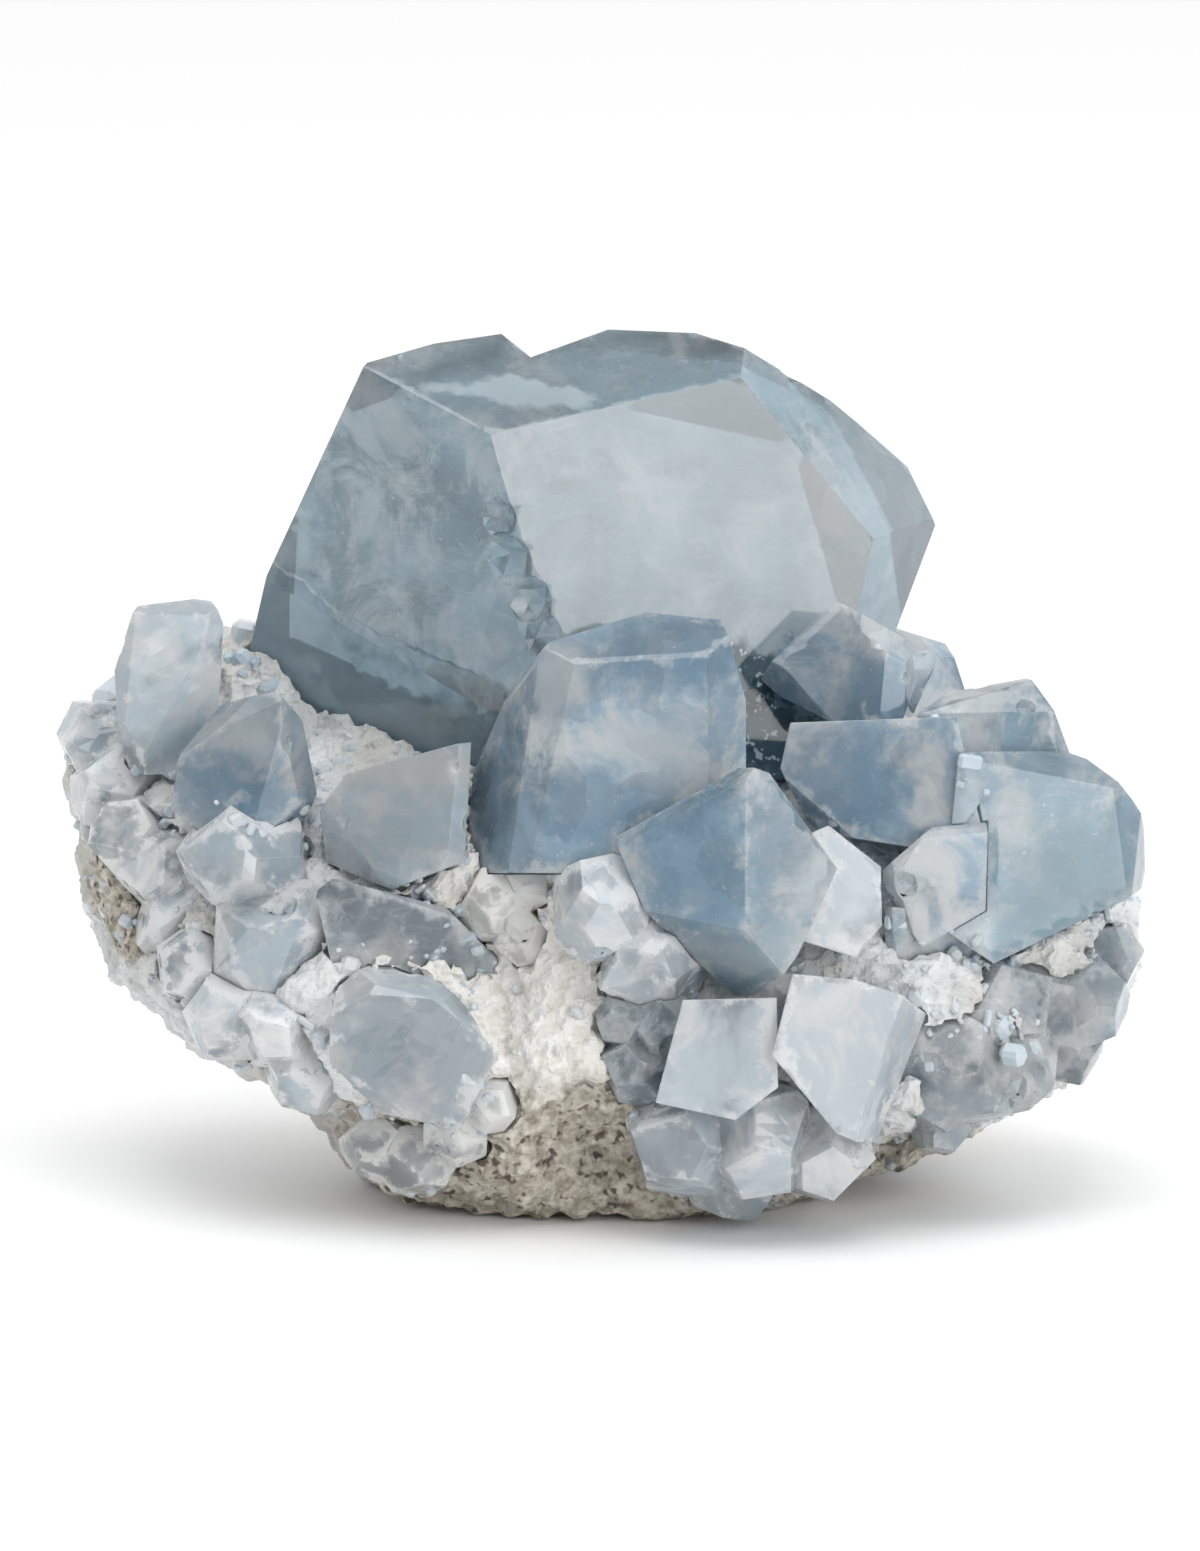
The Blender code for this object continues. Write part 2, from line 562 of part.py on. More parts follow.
def weathered(point, outward):
    """Moves a point of the matrix in and out: broad lumps, broken ledges, small pits and the hollows."""
    lumps = noise.noise(point / 12.0) * 2.4 + noise.noise(point / 6.0 + Vector((7, 3, 1))) * 1.5
    steps = noise.noise(point / 8.0 + Vector((2, 9, 4))) * 4.0
    ledges = (math.floor(steps) + min(1.0, 3.0 * (steps % 1.0))) * 0.5
    pits = min(0.0, noise.noise(point / 3.6 + Vector((5, 1, 8))) + 0.1) * 2.2
    pushed = 0.0
    for middle, radius, depth in HOLLOWS:
        near = max(0.0, 1.0 - (point - at(*middle)).length / radius)
        pushed -= depth * min(1.0, 2.0 * near)
    return point + outward * (lumps + ledges + pits + pushed)


def matrix_body():
    """The lump of matrix: rings that widen from the flat cut below to a rim, and close in a low dome."""
    body = bmesh.new()
    rings = []
    levels = (len(MATRIX_ROWS) - 1) * LEVELS_A_ROW
    for level in range(levels + 1):
        height, left, right, front, back = row_between(MATRIX_ROWS, level / levels)
        middle = Vector(((left + right) / 2, (front + back) / 2, height))
        ring = []
        for step in range(ROUND_COUNT):
            angle = 2 * math.pi * step / ROUND_COUNT
            across, deep = math.cos(angle), math.sin(angle)
            across = math.copysign(abs(across) ** SQUARENESS, across) * (right - left) / 2
            deep = math.copysign(abs(deep) ** SQUARENESS, deep) * (back - front) / 2
            point = middle + Vector((across, deep, 0.0))
            outward = Vector((across, deep, 0.0)).normalized()
            outward = (outward + Vector((0, 0, (height - 20.0) / 50.0))).normalized()
            if level:
                point = weathered(point, outward * min(1.0, level / 3))
                point.x = max(-WIDTH / 2, min(WIDTH / 2 - 0.5, point.x))
                point.z = max(point.z, 0.35 * min(level, 2))
            ring.append(body.verts.new(point))
        rings.append(ring)
    for lower, upper in zip(rings, rings[1:]):
        for step in range(ROUND_COUNT):
            after = (step + 1) % ROUND_COUNT
            body.faces.new((lower[step], lower[after], upper[after], upper[step]))
    body.faces.new(rings[0][::-1])
    centre = sum((vert.co for vert in rings[-1]), Vector()) / ROUND_COUNT
    peak = body.verts.new(centre + Vector((0, 0, 1.5)))
    for step in range(ROUND_COUNT):
        body.faces.new((rings[-1][step], rings[-1][(step + 1) % ROUND_COUNT], peak))
    bmesh.ops.triangulate(body, faces=[face for face in body.faces if len(face.verts) == 4])
    bmesh.ops.recalc_face_normals(body, faces=body.faces[:])
    return body


def crust_crystals(tree, count, seed):
    """Small crystals grown all over the crust, each sunk in it to the shoulders, as a list of face lists."""
    chance = random.Random(seed)
    grown = []
    while len(grown) < count:
        angle = chance.uniform(0.0, 2 * math.pi)
        level = Vector((math.cos(angle), math.sin(angle), 0.0))
        start = level * 90.0 + Vector((0.0, 0.0, chance.uniform(8.0, 40.0)))
        hit, normal, _, _ = tree.ray_cast(start * MM, -level)
        if hit is None:
            continue
        spot = hit / MM
        sandy = abs(spot.x) < 14.0 and spot.y < 0.0
        outline = abs(level.x) > 0.9 and spot.y < 7.0
        if sandy or outline or abs(spot.x) > WIDTH / 2 - 4.0:
            continue
        size = chance.uniform(1.8, 3.8)
        heading = math.degrees(math.atan2(normal.x, -normal.y)) + chance.uniform(-30.0, 30.0)
        reach = (size, size * chance.uniform(1.1, 1.6), size * chance.uniform(0.7, 1.0))
        spin, rise = chance.uniform(0.0, 180.0), chance.uniform(-20.0, 40.0)
        grown.append(crystal_faces(spot - normal * size * 0.55, reach, heading, rise, spin, len(grown)))
    return grown


def grow(name, individuals, material, neighbours):
    """One node: its crystals joined, cut back to a fine gap where they meet crystals grown before them."""
    piece = to_object(name, cut_body(individuals[0]), material)
    for faces in individuals[1:]:
        combine(piece, to_object("joined", cut_body(faces)), "UNION")
    for faces in neighbours:
        combine(piece, to_object("cutter", cut_body(faces, CLEARANCE)), "DIFFERENCE")
    keep_largest(piece)
    return piece


def boxes_meet(first, second):
    """Whether the boxes around two crystals come within the clearance of each other."""
    lows, highs = [], []
    for faces in (first, second):
        body = cut_body(faces, CLEARANCE)
        corners = [vert.co.copy() for vert in body.verts]
        body.free()
        lows.append([min(corner[axis] for corner in corners) for axis in range(3)])
        highs.append([max(corner[axis] for corner in corners) for axis in range(3)])
    return all(lows[0][axis] < highs[1][axis] and lows[1][axis] < highs[0][axis] for axis in range(3))


def stand_on_origin(pieces):
    """Moves the whole specimen so that the middle of its box is over the origin and its cut base is at 0."""
    corners = [vert.co for piece in pieces for vert in piece.data.vertices]
    low = [min(corner[axis] for corner in corners) for axis in range(3)]
    high = [max(corner[axis] for corner in corners) for axis in range(3)]
    shift = Matrix.Translation((-(low[0] + high[0]) / 2, -(low[1] + high[1]) / 2, -low[2]))
    for piece in pieces:
        piece.data.transform(shift)


# Crystals whose faces are seen whole in front, with no small faces between them.
LEFT_SEED = 60
FOOT_SEED = 101
CREAM_SEED = 120
CRUST_SEED = 5
FEW_CRYSTALS = 3

CLEAN_FACED = ("large_crystal", "front_crystal", "low_crystal", "plate_crystal", "slim_crystal")


def build():
    clear_scene()
    blue = stone_material("celestite_blue", CRYSTAL_BLUE, 0.12)
    pale = stone_material("celestite_pale", CRYSTAL_PALE, 0.30)
    grey = stone_material("celestite_grey", CRYSTAL_GREY, 0.25)
    cream = stone_material("matrix_cream", MATRIX_CREAM, 0.85)
    matrix = to_object("matrix", matrix_body(), cream)
    tree = BVHTree.FromObject(matrix, bpy.context.evaluated_depsgraph_get())
    back_left, back_right = back_crystals()
    groups = (
        ("low_crystal", [low_crystal()], blue),
        ("plate_crystal", [plate_crystal()], pale),
        ("lower_cluster", lower_cluster(), pale),
        ("front_crystal", [front_crystal()], blue),
        ("slim_crystal", [slim_crystal()], pale),
        ("middle_right_crystals", middle_right_crystals(), blue),
        ("right_crystals", right_crystals(), blue),
        ("lower_right_crystals", lower_right_crystals(tree), blue),
        ("upper_right_crystal", [upper_right_crystal()], blue),
        ("grey_crystal", [grey_crystal()], grey),
        ("left_crystal", [left_crystal()], blue),
        ("lower_left_crystal", [lower_left_crystal()], pale),
        ("shaded_crystal", [shaded_crystal()], grey),
        ("pale_left_crystals", pale_left_crystals(), pale),
        ("upper_left_crystal", [upper_left_crystal()], pale),
        ("large_crystal", [large_crystal()], blue),
        ("wedge_crystal", [wedge_crystal()], blue),
        ("centre_crystals", centre_crystals(), pale),
        ("corner_crystals", corner_crystals(), grey),
        ("back_left_crystals", back_left, blue),
        ("back_right_crystals", back_right, blue),
        ("left_crust_crystals", seated_crystals(tree, LEFT_CRUST, LEFT_SEED), pale),
        ("foot_crystals", seated_crystals(tree, FOOT_CRUST, FOOT_SEED), grey),
        ("cream_crystals", seated_crystals(tree, CREAM_CRUST, CREAM_SEED), pale),
    )
    pieces, grown = [], []
    for name, individuals, material in groups:
        if len(individuals) <= FEW_CRYSTALS and name not in CLEAN_FACED:
            individuals = [with_small_faces(faces, SMALL_FACES, len(name)) for faces in individuals]
        meets = [old for old in grown if any(boxes_meet(old, new) for new in individuals)]
        pieces.append(grow(name, individuals, material, meets))
        if name == "large_crystal":
            combine(pieces[-1], to_object("cutter", cut_body(crown_notch())), "DIFFERENCE")
        grown.extend(individuals)
    for faces in crust_crystals(tree, CRUST_COUNT, CRUST_SEED):
        combine(matrix, to_object("joined", cut_body(faces)), "UNION")
    for faces in grown:
        combine(matrix, to_object("pocket", cut_body(faces, CLEARANCE)), "DIFFERENCE")
    keep_largest(matrix)
    pieces.append(matrix)
    stand_on_origin(pieces)


build()
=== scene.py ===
"""Rough celestite: the visual model, its materials, and the pale studio it is shown in."""

import math
import random

import bpy
from mathutils import Matrix, Vector
from mathutils.bvhtree import BVHTree
from mathutils.kdtree import KDTree


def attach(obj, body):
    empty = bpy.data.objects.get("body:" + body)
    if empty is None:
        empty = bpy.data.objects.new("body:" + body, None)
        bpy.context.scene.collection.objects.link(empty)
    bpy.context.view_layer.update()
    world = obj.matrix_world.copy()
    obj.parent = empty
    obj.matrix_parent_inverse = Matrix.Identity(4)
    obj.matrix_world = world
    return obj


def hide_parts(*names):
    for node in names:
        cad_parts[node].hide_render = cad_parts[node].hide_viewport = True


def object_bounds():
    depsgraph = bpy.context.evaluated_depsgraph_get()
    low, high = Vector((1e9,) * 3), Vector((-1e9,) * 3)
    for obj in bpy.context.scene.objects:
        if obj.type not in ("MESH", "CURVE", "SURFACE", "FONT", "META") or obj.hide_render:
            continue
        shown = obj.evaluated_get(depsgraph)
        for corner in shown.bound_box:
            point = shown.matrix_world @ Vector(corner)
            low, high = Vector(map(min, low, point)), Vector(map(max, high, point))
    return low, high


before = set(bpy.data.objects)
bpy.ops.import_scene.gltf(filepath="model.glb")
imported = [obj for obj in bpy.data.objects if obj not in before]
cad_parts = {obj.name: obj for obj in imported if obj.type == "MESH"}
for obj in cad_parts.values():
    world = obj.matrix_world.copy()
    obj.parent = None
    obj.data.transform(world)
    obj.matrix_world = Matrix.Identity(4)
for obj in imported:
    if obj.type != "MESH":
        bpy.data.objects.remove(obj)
cad_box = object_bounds()

# The large crystal: one see-through, blue-grey celestite that stands over the others, with a notched
# crown and a left side broken in steps. It is a copy of its solid with its edges chipped and worn, of
# a stone with clouds and veils inside, an old crack, a pale sliver and a dark hollow at its right foot.
# The hollow is painted shade. Its faces carry painted light and shade: each is painted lighter or darker
# by the way it faces, and the bright face is painted whiter as a painted sheen.


def copy_of(node, name):
    """A piece of its own with the mesh of a CAD node, its flat faces joined up again."""
    piece = bpy.data.objects.new(name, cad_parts[node].data.copy())
    bpy.context.scene.collection.objects.link(piece)
    bpy.ops.object.select_all(action="DESELECT")
    bpy.context.view_layer.objects.active = piece
    piece.select_set(True)
    bpy.ops.object.mode_set(mode="EDIT")
    bpy.ops.mesh.select_all(action="SELECT")
    bpy.ops.mesh.remove_doubles(threshold=0.000005)
    bpy.ops.mesh.dissolve_limited(angle_limit=math.radians(0.6))
    bpy.ops.object.mode_set(mode="OBJECT")
    return piece


def shaped(piece, kind, **settings):
    """Gives a piece a modifier with its settings, and applies it."""
    step = piece.modifiers.new("step", kind)
    for setting, value in settings.items():
        setattr(step, setting, value)
    bpy.context.view_layer.objects.active = piece
    bpy.ops.object.modifier_apply(modifier=step.name)


def sharp_edges(shape, angle):
    """A mesh's edges where faces turn by more than an angle: both ends, and the way out between the faces."""
    beside = {}
    for face in shape.polygons:
        for key in face.edge_keys:
            beside.setdefault(key, []).append(face.normal)
    sharp = []
    for (first, second), normals in sorted(beside.items()):
        if len(normals) == 2 and normals[0].angle(normals[1], 0.0) > angle:
            outward = (normals[0] + normals[1]).normalized()
            sharp.append((shape.vertices[first].co, shape.vertices[second].co, outward))
    return sharp


def edge_chips(piece, count, radius, depth, chance):
    """Chips by chance along the long sharp edges of a crystal: a spot, a way out, a radius and a depth."""
    long = [edge for edge in sharp_edges(piece.data, 0.5) if (edge[1] - edge[0]).length > radius]
    chips = []
    for start, end, outward in chance.sample(long, min(count, len(long))):
        share = chance.uniform(0.4, 1.0)
        lean = Vector([chance.gauss(0.0, 0.25) for _ in range(3)])
        spot = start.lerp(end, chance.uniform(0.1, 0.9))
        chips.append((spot, (outward + lean).normalized(), radius * share, depth * share))
    return chips


def chipped(piece, chips, chance):
    """Breaks shallow, shell-shaped chips out of a crystal."""
    for spot, outward, radius, depth in chips:
        bpy.ops.object.select_all(action="DESELECT")
        middle = spot + outward * (radius - depth)
        bpy.ops.mesh.primitive_ico_sphere_add(subdivisions=2, radius=radius, location=middle)
        lump = bpy.context.active_object
        lump.rotation_euler = [chance.uniform(0.0, 3.0) for _ in range(3)]
        for vert in lump.data.vertices:
            vert.co *= chance.uniform(0.93, 1.0)
        shaped(piece, "BOOLEAN", operation="DIFFERENCE", object=lump)
        bpy.data.objects.remove(lump)


def worn(piece, width):
    """Rounds the edges between a crystal's faces."""
    shaped(piece, "BEVEL", width=width, segments=2, limit_method="ANGLE", angle_limit=math.radians(12.0))


def cut_small(piece):
    """Cuts a crystal's faces into triangles of about a millimetre, fine enough to carry its marks."""
    longest = 0.0016
    passes = 5
    shape = piece.data
    bpy.ops.object.select_all(action="DESELECT")
    piece.select_set(True)
    bpy.context.view_layer.objects.active = piece
    bpy.ops.object.mode_set(mode="EDIT")
    bpy.ops.mesh.select_all(action="SELECT")
    bpy.ops.mesh.quads_convert_to_tris()
    bpy.ops.object.mode_set(mode="OBJECT")
    for _ in range(passes):
        for part in (*shape.vertices, *shape.polygons):
            part.select = False
        for edge in shape.edges:
            start, end = (shape.vertices[index].co for index in edge.vertices)
            edge.select = (start - end).length > longest
        if not any(edge.select for edge in shape.edges):
            break
        bpy.ops.object.mode_set(mode="EDIT")
        bpy.ops.mesh.select_mode(type="EDGE")
        bpy.ops.mesh.subdivide(number_cuts=1)
        bpy.ops.mesh.select_all(action="SELECT")
        bpy.ops.mesh.quads_convert_to_tris()
        bpy.ops.object.mode_set(mode="OBJECT")
    bpy.ops.object.shade_smooth_by_angle(angle=math.radians(24.0))


def points_along(edges):
    """A tree of close points along edges, to measure from."""
    spacing = 0.0003
    points = []
    for start, end, _ in edges:
        steps = max(1, int((end - start).length / spacing))
        points.extend(start.lerp(end, index / steps) for index in range(steps + 1))
    tree = KDTree(len(points))
    for index, point in enumerate(points):
        tree.insert(point, index)
    tree.balance()
    return tree


def marked(piece, node, painted_face_light, chance):
    """Cuts a crystal's faces small and marks them: a face's tone, and how near edges and neighbours are.

    A face that looks one of the given ways gets that way's painted light and shade as its tone. The
    others get a random tone, the same for faces that look alike.
    """
    edge_reach = 0.0011
    foot_reach = 0.0035
    same_way = 0.985
    shape = piece.data
    edges = points_along(sharp_edges(shape, 0.3))
    cut_small(piece)
    tone = shape.attributes.new("tone", "FLOAT", "FACE")
    known = {}
    for face in shape.polygons:
        own = [value for outward, value in painted_face_light if face.normal.dot(outward) > same_way]
        key = tuple(round(part * 7.0) for part in face.normal)
        if key not in known:
            known[key] = chance.random()
        tone.data[face.index].value = own[0] if own else known[key]
    rim = shape.attributes.new("rim", "FLOAT", "POINT")
    foot = shape.attributes.new("foot", "FLOAT", "POINT")
    neighbours = [tree for name, tree in solids.items() if name != node]
    for vert in shape.vertices:
        apart = edges.find(vert.co)[2]
        rim.data[vert.index].value = max(0.0, 1.0 - apart / edge_reach)
        reach = foot_reach
        for tree in neighbours:
            found = tree.find_nearest(vert.co, reach)[3]
            reach = reach if found is None else min(reach, found)
        foot.data[vert.index].value = 1.0 - reach / foot_reach


def wire(tree, node, sockets):
    """Gives each of a node's sockets its value, or a link from another node's socket."""
    for key, value in sockets.items():
        if isinstance(value, bpy.types.NodeSocket):
            tree.links.new(value, node.inputs[key])
        else:
            node.inputs[key].default_value = value


def node_of(tree, kind, sockets, **options):
    """Adds a node with its options and its sockets' values and links."""
    node = tree.nodes.new(kind)
    for option, value in options.items():
        setattr(node, option, value)
    wire(tree, node, sockets)
    return node


def place_of(tree):
    """The place on the piece, in metres."""
    return node_of(tree, "ShaderNodeTexCoord", {}).outputs["Object"]


def mark_of(tree, name):
    """One of the marks that a crystal's mesh carries."""
    return node_of(tree, "ShaderNodeAttribute", {}, attribute_name=name).outputs["Fac"]


def maths(tree, operation, *values):
    """What a math operation makes of its values, each a number or a socket."""
    return node_of(tree, "ShaderNodeMath", dict(enumerate(values)), operation=operation).outputs[0]


def vectors(tree, operation, *values):
    """What a vector operation makes of its values, each a vector or a socket."""
    return node_of(tree, "ShaderNodeVectorMath", dict(enumerate(values)), operation=operation).outputs


def span_of(tree, value, low, high, start=0.0, end=1.0, kind="LINEAR"):
    """A value brought from the span low to high onto the span start to end, and held inside it."""
    sockets = {"Value": value, "From Min": low, "From Max": high, "To Min": start, "To Max": end}
    return node_of(tree, "ShaderNodeMapRange", sockets, interpolation_type=kind).outputs["Result"]


def blend_of(tree, mask, first, second):
    """A colour mix from the first to the second by a mask. Either can be a colour or a socket."""
    first, second = ((*colour, 1.0) if isinstance(colour, tuple) else colour for colour in (first, second))
    sockets = {"Factor": mask, "A": first, "B": second}
    return node_of(tree, "ShaderNodeMix", sockets, data_type="RGBA").outputs["Result"]


def noise_of(tree, place, scale, low, high, detail=4.0):
    """A noise mask, its scale in waves to the metre: 0 where it is under low and 1 where it is over high."""
    sockets = {"Vector": place, "Scale": scale, "Detail": detail, "Roughness": 0.6}
    return span_of(tree, node_of(tree, "ShaderNodeTexNoise", sockets).outputs["Fac"], low, high)


def patch_of(tree, place, centre, spread, ragged, inner=0.25, outer=0.65):
    """A soft mask, 1 at a centre and 0 beyond its spread, in metres, with a ragged edge."""
    shift = vectors(tree, "SUBTRACT", place, centre)[0]
    length = vectors(tree, "LENGTH", vectors(tree, "DIVIDE", shift, spread)[0])["Value"]
    edge = maths(tree, "MULTIPLY_ADD", ragged, -0.9, length)
    return span_of(tree, edge, inner, outer, 1.0, 0.0, "SMOOTHSTEP")


def celestite_inside():
    """What is in a crystal: masks of its milk, deep colour and veils, two heights, and a tone in blocks."""
    group = bpy.data.node_groups.new("celestite_inside", "ShaderNodeTree")
    group.interface.new_socket("Shift", in_out="INPUT", socket_type="NodeSocketVector")
    for name in ("Milk", "Deep", "Veil", "Height", "Steps", "Blocks"):
        group.interface.new_socket(name, in_out="OUTPUT", socket_type="NodeSocketFloat")
    shift = node_of(group, "NodeGroupInput", {}).outputs["Shift"]
    place = vectors(group, "ADD", place_of(group), shift)[0]

    sockets = {"Vector": place, "Scale": 150.0, "Detail": 5.0, "Roughness": 0.66, "Distortion": 0.6}
    clouds = node_of(group, "ShaderNodeTexNoise", sockets).outputs["Fac"]
    milk = span_of(group, clouds, 0.44, 0.64, kind="SMOOTHSTEP")

    sockets = {"Vector": place, "Scale": 75.0, "Detail": 3.0, "Distortion": 0.8}
    broad = node_of(group, "ShaderNodeTexNoise", sockets).outputs["Fac"]
    deep = span_of(group, broad, 0.44, 0.66, kind="SMOOTHSTEP")

    sockets = {"Vector": place, "Rotation": (0.5, 0.3, 0.9), "Scale": (1.0, 1.0, 3.4)}
    stretched = node_of(group, "ShaderNodeMapping", sockets).outputs["Vector"]
    sockets = {"Vector": stretched, "Scale": 120.0, "Detail": 3.0, "Distortion": 1.6}
    sheets = node_of(group, "ShaderNodeTexNoise", sockets).outputs["Fac"]
    width = maths(group, "ABSOLUTE", maths(group, "SUBTRACT", sheets, 0.5))
    veil = span_of(group, width, 0.0, 0.022, 1.0, 0.0, "SMOOTHSTEP")

    slow = node_of(group, "ShaderNodeTexNoise", {"Vector": place, "Scale": 130.0, "Detail": 1.0}).outputs
    bent = vectors(group, "MULTIPLY_ADD", slow["Color"], (0.004, 0.004, 0.004), place)[0]
    sockets = {"Vector": bent, "Rotation": (0.7, 0.4, 0.2)}
    turned = node_of(group, "ShaderNodeMapping", sockets).outputs["Vector"]
    fine = node_of(group, "ShaderNodeTexVoronoi", {"Vector": turned, "Scale": 430.0}, distance="MANHATTAN")
    large = node_of(group, "ShaderNodeTexVoronoi", {"Vector": turned, "Scale": 190.0}, distance="MANHATTAN")
    blocks = node_of(group, "ShaderNodeSeparateColor", {"Color": large.outputs["Color"]}).outputs["Red"]

    sockets = {"Milk": milk, "Deep": deep, "Veil": veil, "Height": slow["Fac"]}
    sockets.update({"Steps": fine.outputs["Distance"], "Blocks": blocks})
    node_of(group, "NodeGroupOutput", sockets)
    return group


inside = celestite_inside()


def celestite(name, look, depth, frost, steps, patches_and_highlights):
    """See-through celestite of a look: its clear and milky colour, how see-through, and its clouds' shift.

    The depth is how strongly it colours what is seen through it, the frost how far its foot is frosted,
    and the steps how high its growth steps are. A glassy crystal has none, but it has veils and specks.
    """
    clear, milk, see_through, shift = look
    glassy = steps == 0.0
    deep_share = 0.56
    veil_share = 0.22
    patch_share = 0.75
    darkest_face, brightest_face = 0.65, 1.02
    darkest_block, brightest_block = 0.88, 1.08
    edge_frost = 0.42
    most_frost = 0.58 if glassy else 0.82
    smooth, rough = 0.07, 0.45
    pale_fleck = (0.84, 0.89, 0.92)
    material = bpy.data.materials.new(name)
    material.use_nodes = True
    tree = material.node_tree
    sockets = {"Shift": (shift, shift * 0.7, -shift * 0.4)}
    effect = node_of(tree, "ShaderNodeGroup", sockets, node_tree=inside).outputs
    base = blend_of(tree, effect["Deep"], clear, tuple(part * deep_share for part in clear))
    base = blend_of(tree, effect["Milk"], base, milk)
    if glassy:
        veil = maths(tree, "MULTIPLY", effect["Veil"], veil_share)
        base = blend_of(tree, veil, base, (0.86, 0.90, 0.92))
    place = place_of(tree)
    ragged = noise_of(tree, place, 520.0, 0.25, 0.75, 3.0)
    # Its patches: most are colour in the stone, some are painted highlights.
    for centre, spread, colour in patches_and_highlights:
        here = patch_of(tree, place, centre, spread, ragged, 0.0, 1.1)
        base = blend_of(tree, maths(tree, "MULTIPLY", here, patch_share), base, colour)
    if glassy:
        base = blend_of(tree, noise_of(tree, place, 2100.0, 0.70, 0.86, 1.0), base, pale_fleck)

    # How light each face is: on the large crystal its painted light and shade, on the others a random tone.
    light = span_of(tree, mark_of(tree, "tone"), 0.0, 1.0, darkest_face, brightest_face)
    if glassy:
        block = span_of(tree, effect["Blocks"], 0.0, 1.0, darkest_block, brightest_block)
        light = maths(tree, "MULTIPLY", light, block)
    shaded = node_of(tree, "ShaderNodeVectorMath", {0: base, "Scale": light}, operation="SCALE").outputs[0]
    at_edges = maths(tree, "MULTIPLY_ADD", mark_of(tree, "rim"), edge_frost, ragged)
    at_foot = maths(tree, "MULTIPLY_ADD", mark_of(tree, "foot"), frost, at_edges)
    frosted = span_of(tree, at_foot, 0.80, 1.20, 0.0, most_frost, "SMOOTHSTEP")

    sockets = {"Strength": 0.20, "Distance": 0.0003, "Height": effect["Height"]}
    normal = node_of(tree, "ShaderNodeBump", sockets).outputs["Normal"]
    if not glassy:
        sockets = {"Strength": steps, "Distance": 0.0005, "Height": effect["Steps"], "Normal": normal}
        normal = node_of(tree, "ShaderNodeBump", sockets).outputs["Normal"]
    sockets = {
        "Base Color": blend_of(tree, frosted, shaded, milk),
        "Roughness": span_of(tree, frosted, 0.0, 1.0, smooth, rough),
        "Normal": normal,
        "IOR": 1.62,
        "Transmission Weight": see_through,
    }
    wire(tree, tree.nodes["Principled BSDF"], sockets)
    sockets = {"Color": (0.42, 0.62, 0.72, 1.0), "Density": depth}
    absorption = node_of(tree, "ShaderNodeVolumeAbsorption", sockets)
    wire(tree, tree.nodes["Material Output"], {"Volume": absorption.outputs["Volume"]})
    return material


def large_marks(material):
    """The large crystal's own marks over its stone's colour, with a painted sheen and a painted shade."""
    tree = material.node_tree
    shader = tree.nodes["Principled BSDF"]
    base = shader.inputs["Base Color"].links[0].from_socket
    place = place_of(tree)
    ragged = noise_of(tree, place, 240.0, 0.3, 0.7, 3.0)

    # Painted sheen: the broad bright face, which catches the lamp, is painted whiter than the others.
    front = span_of(tree, mark_of(tree, "tone"), 0.96, 1.0, 0.0, 0.55)
    base = blend_of(tree, front, base, (0.58, 0.57, 0.55))

    # The old crack follows a shell across the left side. The stone is darker beyond it.
    crack_centre = (-0.0008, 0.0014, 0.084)
    crack_radius = 0.0420
    from_centre = vectors(tree, "DISTANCE", place, crack_centre)["Value"]
    beyond = maths(tree, "SUBTRACT", from_centre, crack_radius)
    wavy = maths(tree, "MULTIPLY_ADD", ragged, 0.0012, beyond)
    base = blend_of(tree, span_of(tree, wavy, 0.0005, 0.0009, 0.0, 0.22), base, (0.20, 0.30, 0.36))
    width = maths(tree, "ABSOLUTE", maths(tree, "SUBTRACT", wavy, 0.0007))
    line = span_of(tree, width, 0.00005, 0.00022, 0.8, 0.0)
    for centre, spread, colour in (
        ((-0.027, 0.004, 0.050), (0.010, 0.012, 0.012), (0.85, 0.90, 0.92)),
        ((-0.016, -0.001, 0.045), (0.009, 0.010, 0.008), (0.16, 0.25, 0.31)),
    ):
        here = maths(tree, "MULTIPLY", patch_of(tree, place, centre, spread, ragged), line)
        base = blend_of(tree, here, base, colour)

    # The pale sliver under the crown, and painted shade: a dark colour with pale specks where the hollow at
    # its right foot lies in shade.
    sliver = patch_of(tree, place, (-0.0078, -0.0007, 0.0661), (0.0060, 0.0022, 0.0016), ragged)
    base = blend_of(tree, sliver, base, (0.62, 0.74, 0.79))
    specks = noise_of(tree, place, 1500.0, 0.62, 0.70, 1.0)
    speckled_shade = blend_of(tree, specks, (0.045, 0.075, 0.090), (0.72, 0.78, 0.80))
    hollow_shade = patch_of(tree, place, (0.0132, -0.0041, 0.0394), (0.0046, 0.0050, 0.0066), ragged)
    base = blend_of(tree, hollow_shade, base, speckled_shade)
    wire(tree, shader, {"Base Color": base})


def way(heading, rise):
    """The direction that faces a heading, 0 front and 90 right, at a rise."""
    heading, rise = math.radians(heading), math.radians(rise)
    return Vector((math.sin(heading) * math.cos(rise), -math.cos(heading) * math.cos(rise), math.sin(rise)))


# Its look: a clear and a milky colour, how see-through it is, and the shift of its clouds.
large_look = ((0.42, 0.57, 0.65), (0.68, 0.75, 0.79), 0.60, 0.00)
large_depth = 40.0
large_frost = 0.15
no_steps = 0.0
# Its dark and bright patches: a centre, a spread and a colour.
large_patches = (
    ((-0.0215, 0.0040, 0.0385), (0.0150, 0.0120, 0.0066), (0.72, 0.88, 0.96)),
    ((-0.0285, 0.0110, 0.0470), (0.0060, 0.0120, 0.0160), (0.72, 0.88, 0.96)),
    ((0.0255, 0.0080, 0.0500), (0.0060, 0.0140, 0.0200), (0.66, 0.76, 0.82)),
    ((0.0089, 0.0013, 0.0645), (0.0090, 0.0050, 0.0030), (0.44, 0.64, 0.76)),
)
